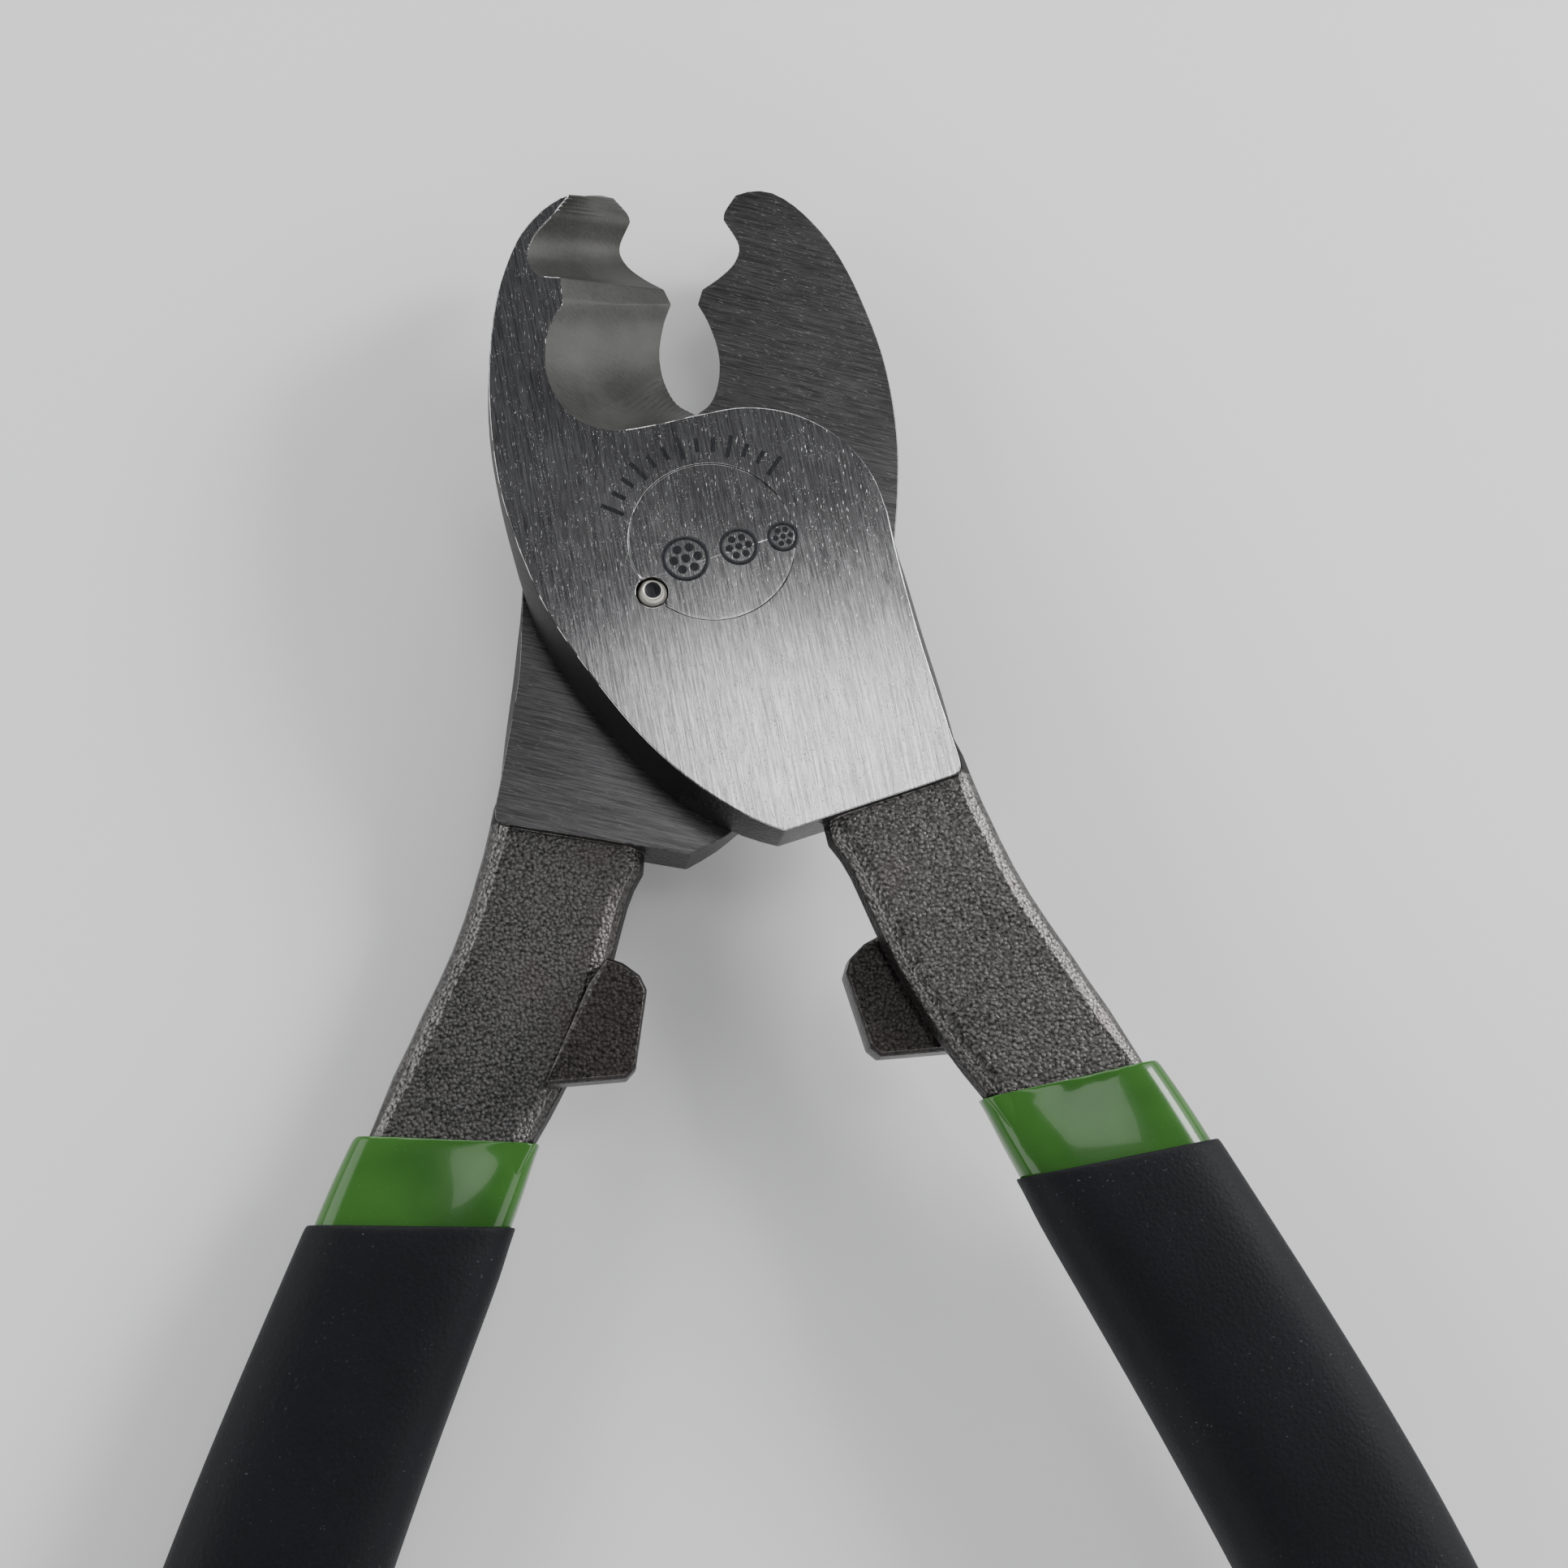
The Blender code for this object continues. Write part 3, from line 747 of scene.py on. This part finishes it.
@dataclass
class Lever:
    """One forged lever: ground head, hollow-ground scoops, blasted arm and stop lug.

    A field that ends in from_mm is where a surface begins along the tool. A field that ends in rise
    is the part of a face's normal that points out of the ground face.
    """

    side: Side
    finishes: Finishes
    edge_mm: float = 0.16
    edge_degrees: float = 20.0
    level_rise: float = 0.999
    face_near_mm: float = 0.02
    mating_near_mm: float = 0.2
    mating_gap_mm: float = 0.15
    scoop_from_mm: float = 15.2
    scoop_side_mm: float = 1.0
    scoop_rise: float = 0.35
    scoop_lean: float = -0.5
    tip_from_mm: float = 45.5
    tip_rise: float = 0.1
    arm_from_mm: float = -31.0
    lug_from_mm: float = -50.0
    lug_half_mm: float = 3.3
    lug_root_mm: float = 15.6
    arm_slant: float = 0.55

    def node(self) -> str:
        """Return the name of the frame node that this lever stands for."""
        return "front_lever" if self.side is Side.FRONT else "rear_lever"

    def own(self, vector: Vector, is_point: bool) -> Vector:
        """Return a point or direction as the front lever would have it.

        Args:
            vector: A point or a direction in the tool's frame.
            is_point: True for a point, which also moves with the mating plane.

        Returns:
            The same on the front lever, or turned half a turn about the tool's long axis.
        """
        if self.side is Side.FRONT:
            return vector.copy()
        height = 2 * MATING_PLANE - vector.z if is_point else -vector.z
        return Vector((-vector.x, vector.y, height))

    def is_ground(self, face: bmesh.types.BMFace) -> bool:
        """Return True for a face that lies in the outer face or in the mating face."""
        heights = [self.own(vert.co, True).z for vert in face.verts]
        levels = (0.0, MATING_PLANE + self.mating_gap_mm * MM)
        return any(all(abs(height - level) < 0.01 * MM for height in heights) for level in levels)

    def region(self, centre: Vector, normal: Vector) -> Region:
        """Return the surface that a face belongs to, from its centre and normal."""
        at = self.own(centre, True)
        out = self.own(normal, False)
        if abs(out.z) > self.level_rise and abs(at.z) < self.face_near_mm * MM:
            return Region.FACE
        if abs(out.z) > self.level_rise and abs(at.z - MATING_PLANE) < self.mating_near_mm * MM:
            return Region.MATING
        inside = at.x < self.scoop_side_mm * MM and out.x > self.scoop_lean
        if at.y > self.scoop_from_mm * MM and out.z > self.scoop_rise and inside:
            return Region.SCOOP
        if at.y > self.tip_from_mm * MM and out.z > self.tip_rise:
            return Region.SCOOP
        # The head's side walls take the near-black wall finish, painted shade.
        if at.y > self.arm_from_mm * MM:
            return Region.WALL
        # Faces of the stop lug near the mating plane take the darker lug finish: painted shade
        # where the arm shadows them.
        past = self.lug_from_mm * MM - at.y
        in_lug = abs(at.z - MATING_PLANE) < self.lug_half_mm * MM
        if past > 0 and in_lug and at.x < self.lug_root_mm * MM + past * self.arm_slant:
            return Region.LUG
        return Region.FORGED

    def build(self) -> bpy.types.Object:
        """Return the lever's piece."""
        work = cad_work(self.node())
        bmesh.ops.dissolve_degenerate(work, dist=2 * WELD, edges=work.edges)
        level, inner = (
            [item for item in items if all(self.is_ground(face) for face in item.link_faces)]
            for items in (work.edges, work.verts)
        )
        bmesh.ops.dissolve_limit(work, angle_limit=math.pi, verts=inner, edges=level)
        bmesh.ops.join_triangles(
            work,
            faces=[face for face in work.faces if len(face.verts) == 3],
            angle_face_threshold=math.radians(12.0),
            angle_shape_threshold=math.radians(65.0),
        )
        for face in work.faces:
            face.material_index = self.region(face.calc_center_median(), face.normal).value
        obj = from_work(f"{self.node()}_forging", work)
        own = self.finishes
        for material in (own.face, own.mating, own.scoop, own.forged, own.wall, own.lug):
            obj.data.materials.append(material)
        soften(obj, self.edge_mm, self.edge_degrees)
        return placed(obj, self.side.value, Slot.FORGED, self.node())


# ---------------------------------------------------------------------------- pivot
@dataclass
class Pivot:
    """Flush pivot bolt with its lock pin, washer, disc spring and slotted nut."""

    finishes: Finishes
    clearance_mm: float = 0.3
    seam_mm: float = 0.04
    edge_mm: float = 0.06
    pin_swell_mm: float = 0.12
    pin_proud_mm: float = 0.04
    punch_shift: tuple[float, float] = (0.06, 0.23)

    def bolt(self) -> bpy.types.Object:
        """Return the bolt, whose head fills its counterbore to a hairline."""
        work = cad_work("pivot_bolt")
        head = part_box("pivot_bolt")[1].x
        grow = (head + (self.clearance_mm - self.seam_mm) * MM) / head
        for vert in work.verts:
            if vert.co.xy.length > head * 0.93:
                vert.co.x *= grow
                vert.co.y *= grow
        obj = from_work("pivot_bolt_steel", work)
        for material in (self.finishes.bolt, self.finishes.face):
            obj.data.materials.append(material)
        for face in obj.data.polygons:
            face.material_index = int(face.normal.z > 0.99 and face.center.z > -0.05 * MM)
        soften(obj, self.edge_mm, 40.0, 2)
        return placed(obj, Side.FRONT.value, Slot.BOLT, "pivot_bolt")

    def lock_pin(self) -> bpy.types.Object:
        """Return the lock pin on the bolt's rim, with the hollow of the punch that set it."""
        low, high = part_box("head_lock_pin")
        centre = (low + high) / 2
        radius = (high.x - low.x) / 2 + self.pin_swell_mm * MM
        top = high.z + self.pin_proud_mm * MM
        profile = [
            (0.0, low.z),
            (radius * 0.9, low.z),
            (radius, low.z + 0.2 * MM),
            (radius, top - 0.22 * MM),
            (radius * 0.92, top - 0.05 * MM),
            (radius * 0.66, top),
            (radius * 0.58, top - 0.07 * MM),
            (radius * 0.48, top - 0.30 * MM),
            (0.0, top - 0.24 * MM),
        ]
        work = turned_work(profile, 48)
        for vert in work.verts:
            if vert.co.z > top - 0.5 * MM and vert.co.xy.length < radius * 0.8:
                vert.co.xy += Vector(self.punch_shift) * radius
        bmesh.ops.translate(work, vec=(centre.x, centre.y, 0.0), verts=work.verts)
        obj = from_work("head_lock_pin_steel", work)
        for material in (self.finishes.bright, self.finishes.etched):
            obj.data.materials.append(material)
        # Painted shade: the faces in the punch's hollow take the dark etched finish.
        floor = top - 0.1 * MM
        for face in obj.data.polygons:
            inside = (face.center.xy - centre.xy).length < radius * 0.86
            face.material_index = int(inside and low.z + 0.3 * MM < face.center.z < floor)
        obj.data.shade_smooth()
        return placed(obj, Side.FRONT.value, Slot.PIN, "head_lock_pin")

    def nut(self) -> bpy.types.Object:
        """Return the slotted nut with its edges broken."""
        obj = from_work("pivot_nut_steel", cad_work("pivot_nut"))
        obj.data.materials.append(self.finishes.bolt)
        soften(obj, 0.15, 40.0, 2)
        return placed(obj, Side.FRONT.value, Slot.BOLT, "pivot_nut")

    def build(self) -> list[bpy.types.Object]:
        """Build the pivot's pieces and dress the two hidden discs."""
        discs = {"thrust_washer": self.finishes.bright, "disc_spring": self.finishes.spring}
        for node, material in discs.items():
            mesh = frame["nodes"][node].data
            mesh.materials.clear()
            mesh.materials.append(material)
        return [self.bolt(), self.lock_pin(), self.nut()]


# ---------------------------------------------------------------------------- handle coverings
@dataclass
class Covering:
    """A dipped covering of one handle: the glossy sleeve or the grained grip over it."""

    side: Side
    kind: str
    material: bpy.types.Material
    slot: Slot
    smoothing: int = 2

    def build(self) -> bpy.types.Object:
        """Return the covering as a smooth closed surface."""
        side = "front" if self.side is Side.FRONT else "rear"
        node = f"{side}_{self.kind}"
        work = cad_work(node)
        bmesh.ops.join_triangles(
            work,
            faces=work.faces,
            angle_face_threshold=math.radians(50.0),
            angle_shape_threshold=math.radians(70.0),
        )
        obj = from_work(f"{node}_dip", work)
        obj.data.materials.append(self.material)
        obj.data.shade_smooth()
        step = obj.modifiers.new("Smooth", "SUBSURF")
        step.levels = self.smoothing
        step.render_levels = self.smoothing
        flatten(obj)
        return placed(obj, self.side.value, self.slot, node)


# ---------------------------------------------------------------------------- etched marks
class PatternTree(Sheet):
    """A Geometry Nodes tree with named inputs, ending in realised pieces with a material."""

    def __init__(self, name: str, sizes: Mapping[str, float | int]) -> None:
        """Make the tree and its inputs.

        Args:
            name: The tree's name.
            sizes: Name and value of each input. A whole number makes an integer input.
        """
        super().__init__(bpy.data.node_groups.new(name, "GeometryNodeTree"))
        self.sizes = dict(sizes)
        self.keys: dict[str, str] = {}
        for size, value in sizes.items():
            kind = "NodeSocketInt" if isinstance(value, int) else "NodeSocketFloat"
            self.keys[size] = self.socket(size, "INPUT", kind)
        self.keys["Finish"] = self.socket("Finish", "INPUT", "NodeSocketMaterial")
        self.socket("Pieces", "OUTPUT", "NodeSocketGeometry")
        self.group = self.tree.nodes.new("NodeGroupInput")

    def socket(self, name: str, way: str, kind: str) -> str:
        """Add a socket to the tree's interface and return its identifier."""
        return self.tree.interface.new_socket(name, in_out=way, socket_type=kind).identifier

    def size(self, name: str) -> Signal:
        """Return a named input."""
        return Signal(self, self.group.outputs[name])

    def joined(self, *parts: Signal) -> Signal:
        """Return several geometries as one."""
        join = self.add("GeometryNodeJoinGeometry")
        for part in parts:
            self.tree.links.new(part.socket, join.socket.node.inputs[0])
        return join

    def end(self, geometry: Signal) -> None:
        """Realise the instances, set the material and finish the tree."""
        real = self.add("GeometryNodeRealizeInstances", None, {0: geometry})
        dressed = self.add(
            "GeometryNodeSetMaterial", None, {"Geometry": real, "Material": self.size("Finish")}
        )
        self.add("NodeGroupOutput", None, {0: dressed})

    def made(self, name: str, finish: bpy.types.Material) -> bpy.types.Object:
        """Return a plain mesh object of what the tree makes.

        Args:
            name: The object's name.
            finish: The material of its pieces.

        Returns:
            The object, with no modifier left on it.
        """
        obj = link(name, bpy.data.meshes.new(name))
        step = obj.modifiers.new("Pattern", "NODES")
        step.node_group = self.tree
        for size, value in self.sizes.items():
            step[self.keys[size]] = value
        step[self.keys["Finish"]] = finish
        flatten(obj)
        return obj


class ScaleArc(PatternTree):
    """An arc of short strokes, every third one long."""

    longer = 0.6

    def __init__(
        self,
        radius: float,
        start: float,
        sweep: float,
        count: int,
        stroke: float,
        width: float,
        thick: float,
    ) -> None:
        """Build the tree.

        Args:
            radius: Radius of the strokes' middles.
            start: Angle of the first stroke, in radians.
            sweep: Angle from the first stroke to the last, in radians.
            count: Number of strokes.
            stroke: Length of a short stroke.
            width: Width of a stroke.
            thick: Height of a stroke above the face.
        """
        super().__init__("scale_arc", {
            "Radius": radius, "Start": start, "Sweep": sweep, "Count": count,
            "Stroke": stroke, "Width": width, "Thick": thick,
        })
        arc = self.add("GeometryNodeCurveArc", {"mode": "RADIUS"}, {
            "Resolution": self.size("Count"), "Radius": self.size("Radius"),
            "Start Angle": self.size("Start"), "Sweep Angle": self.size("Sweep"),
        })
        points = self.add("GeometryNodeCurveToPoints", {"mode": "EVALUATED"}, {"Curve": arc})
        tangent = Signal(self, points.socket.node.outputs["Tangent"])
        turn = self.add("FunctionNodeAlignRotationToVector", {"axis": "X"}, {"Vector": tangent})
        size = self.add("ShaderNodeCombineXYZ", None, {
            "X": self.size("Width"), "Y": self.size("Stroke"), "Z": self.size("Thick"),
        })
        stroke_mesh = self.add("GeometryNodeMeshCube", None, {"Size": size})
        index = self.add("GeometryNodeInputIndex")
        beat = self.add("ShaderNodeMath", {"operation": "MODULO"}, {0: index, 1: 3.0})
        long = self.add("ShaderNodeMath", {"operation": "LESS_THAN"}, {0: beat, 1: 0.5})
        length = self.add("ShaderNodeMath", {"operation": "MULTIPLY_ADD"}, {
            0: long, 1: self.longer, 2: 1.0,
        })
        scale = self.add("ShaderNodeCombineXYZ", None, {"X": 1.0, "Y": length, "Z": 1.0})
        placed_strokes = self.add("GeometryNodeInstanceOnPoints", None, {
            "Points": points, "Instance": stroke_mesh, "Rotation": turn, "Scale": scale,
        })
        self.end(placed_strokes)


class CableSection(PatternTree):
    """The cross-section of a stranded cable: a ring round one middle strand and six others."""

    def __init__(self, radius: float, ring: float, strand: float, thick: float) -> None:
        """Build the tree.

        Args:
            radius: Middle radius of the ring.
            ring: Width of the ring.
            strand: Radius of a strand.
            thick: Height above the face.
        """
        super().__init__("cable_section", {
            "Radius": radius, "Ring": ring, "Strand": strand, "Thick": thick, "Strands": 6,
        })
        line = self.add("GeometryNodeCurvePrimitiveCircle", {"mode": "RADIUS"}, {
            "Resolution": 48, "Radius": self.size("Radius"),
        })
        section = self.add("GeometryNodeCurvePrimitiveQuadrilateral", {"mode": "RECTANGLE"}, {
            "Width": self.size("Ring"), "Height": self.size("Thick"),
        })
        ring_mesh = self.add("GeometryNodeCurveToMesh", None, {
            "Curve": line, "Profile Curve": section,
        })
        round_line = self.add("GeometryNodeCurvePrimitiveCircle", {"mode": "RADIUS"}, {
            "Resolution": self.size("Strands"), "Radius": self.size("Radius") * 0.56,
        })
        strand_mesh = self.add("GeometryNodeMeshCylinder", None, {
            "Vertices": 20, "Radius": self.size("Strand"), "Depth": self.size("Thick"),
        })
        strands = self.add("GeometryNodeInstanceOnPoints", None, {
            "Points": round_line, "Instance": strand_mesh,
        })
        self.end(self.joined(ring_mesh, strands, strand_mesh))


@dataclass
class FaceMarks:
    """Generic marks etched on the ground front face: a stroke scale and three cable sections."""

    finishes: Finishes
    proud_mm: float = 0.012
    scale_radius_mm: float = 12.9
    scale_from: float = 48.0
    scale_to: float = 158.0
    strokes: int = 13
    stroke_mm: tuple[float, float] = (1.9, 0.55)
    ring_mm: float = 0.55
    strand_share: float = 0.21
    row_turn: float = 10.0
    row_centre_mm: tuple[float, float] = (1.4, -1.2)
    sections_mm: tuple[tuple[float, float], ...] = ((-4.9, 2.7), (1.9, 2.2), (7.6, 1.75))

    def thick(self) -> float:
        """Return the height of a mark, half of which stands out of the face."""
        return 2 * self.proud_mm * MM

    def build(self) -> list[bpy.types.Object]:
        """Return the marks."""
        start = math.radians(self.scale_from)
        sweep = math.radians(self.scale_to) - start
        stroke, width = (size * MM for size in self.stroke_mm)
        arc = ScaleArc(
            self.scale_radius_mm * MM, start, sweep, self.strokes, stroke, width, self.thick()
        )
        pieces = [arc.made("front_scale_marks", self.finishes.etched)]
        row = Matrix.Translation(Vector((*self.row_centre_mm, 0.0)) * MM)
        row @= Matrix.Rotation(math.radians(self.row_turn), 4, "Z")
        for number, (along, radius) in enumerate(self.sections_mm, 1):
            strand = radius * self.strand_share
            tree = CableSection(radius * MM, self.ring_mm * MM, strand * MM, self.thick())
            mark = tree.made(f"front_cable_mark_{number}", self.finishes.etched)
            mark.data.transform(row @ Matrix.Translation((along * MM, 0.0, 0.0)))
            pieces.append(mark)
        for piece in pieces:
            placed(piece, Side.FRONT.value, Slot.FORGED)
        return pieces


# ---------------------------------------------------------------------------- studio
@dataclass(frozen=True)
class Panel:
    """A soft rectangular light: its place, the point it faces, its size in metres and its power."""

    name: str
    at: Point
    size: tuple[float, float]
    watts: float
    toward: Point = (0.0, -0.05, 0.0)

    def hang(self) -> None:
        """Put the light in the scene."""
        data = bpy.data.lights.new(self.name, "AREA")
        data.shape = "RECTANGLE"
        data.size, data.size_y = self.size
        data.energy = self.watts
        light = bpy.data.objects.new(self.name, data)
        bpy.context.scene.collection.objects.link(light)
        back = Vector(self.at) - Vector(self.toward)
        turn = back.to_track_quat("Z", "Y").to_matrix().to_4x4()
        light.matrix_world = Matrix.Translation(self.at) @ turn


PANELS = (
    Panel("overhead_strip", (0.11, 0.107, 0.60), (0.19, 0.15), 0.37, (0.11, 0.107, 0.0)),
    Panel("right_key", (0.70, 0.25, 0.42), (0.22, 0.22), 4.5),
    Panel("right_wall", (1.5, 0.1, 0.65), (2.4, 1.0), 24.0),
    Panel("left_wall", (-1.5, 0.1, 0.65), (2.4, 1.0), 26.0),
    Panel("near_wall", (0.0, -1.9, 0.65), (2.4, 1.0), 24.0, (0.0, 0.0, 0.0)),
    Panel("far_wall", (0.0, 2.3, 0.65), (2.4, 1.0), 44.0, (0.0, 0.0, 0.0)),
)


@dataclass
class Studio:
    """Pale floor, soft lights and the camera."""

    eye_mm: Point = (-20.1, -88.3, 230.9)
    target_mm: Point = (6.0, -31.5, 0.0)
    up_turn: float = 5.4
    lens: float = 45.65
    floor_half: float = 3.0
    floor_drop_mm: float = 0.1
    sky: tuple[float, float, float, float] = (0.95, 0.97, 1.0, 1.0)
    sky_strength: float = 0.17

    def camera(self) -> None:
        """Make the camera."""
        data = bpy.data.cameras.new("camera")
        data.lens = self.lens
        data.sensor_width = 36.0
        data.clip_start = 0.01
        data.clip_end = 50.0
        camera = bpy.data.objects.new("camera", data)
        bpy.context.scene.collection.objects.link(camera)
        eye = Vector(self.eye_mm) * MM
        back = (eye - Vector(self.target_mm) * MM).normalized()
        turn = math.radians(self.up_turn)
        side = Vector((math.sin(turn), math.cos(turn), 0.0)).cross(back).normalized()
        upward = back.cross(side)
        axes = Matrix((side, upward, back)).transposed().to_4x4()
        camera.matrix_world = Matrix.Translation(eye) @ axes
        bpy.context.scene.camera = camera

    def floor(self) -> None:
        """Lay the floor under the lowest grip."""
        work = bmesh.new()
        bmesh.ops.create_grid(work, x_segments=1, y_segments=1, size=self.floor_half)
        level = CAD_BOX[0].z - self.floor_drop_mm * MM
        bmesh.ops.translate(work, vec=(0.0, 0.0, level), verts=work.verts)
        obj = from_work("floor", work)
        obj.data.materials.append(PaleFloor("pale_floor").material())

    def build(self) -> None:
        """Make the floor, lights, sky and camera."""
        self.floor()
        world = bpy.data.worlds.new("studio")
        bpy.context.scene.world = world
        world.use_nodes = True
        background = world.node_tree.nodes["Background"]
        background.inputs["Color"].default_value = self.sky
        background.inputs["Strength"].default_value = self.sky_strength
        for panel in PANELS:
            panel.hang()
        self.camera()


def main() -> None:
    """Build every piece in order, then the studio."""
    logging.basicConfig(level=logging.INFO, format="%(name)s: %(message)s", stream=sys.stdout)
    finishes = Finishes()
    for side in Side:
        Lever(side, finishes).build()
        Covering(side, "sleeve", finishes.green, Slot.GREEN).build()
        Covering(side, "grip", finishes.black, Slot.BLACK).build()
    Pivot(finishes).build()
    FaceMarks(finishes).build()
    Studio().build()


if __name__ == "__main__":
    main()
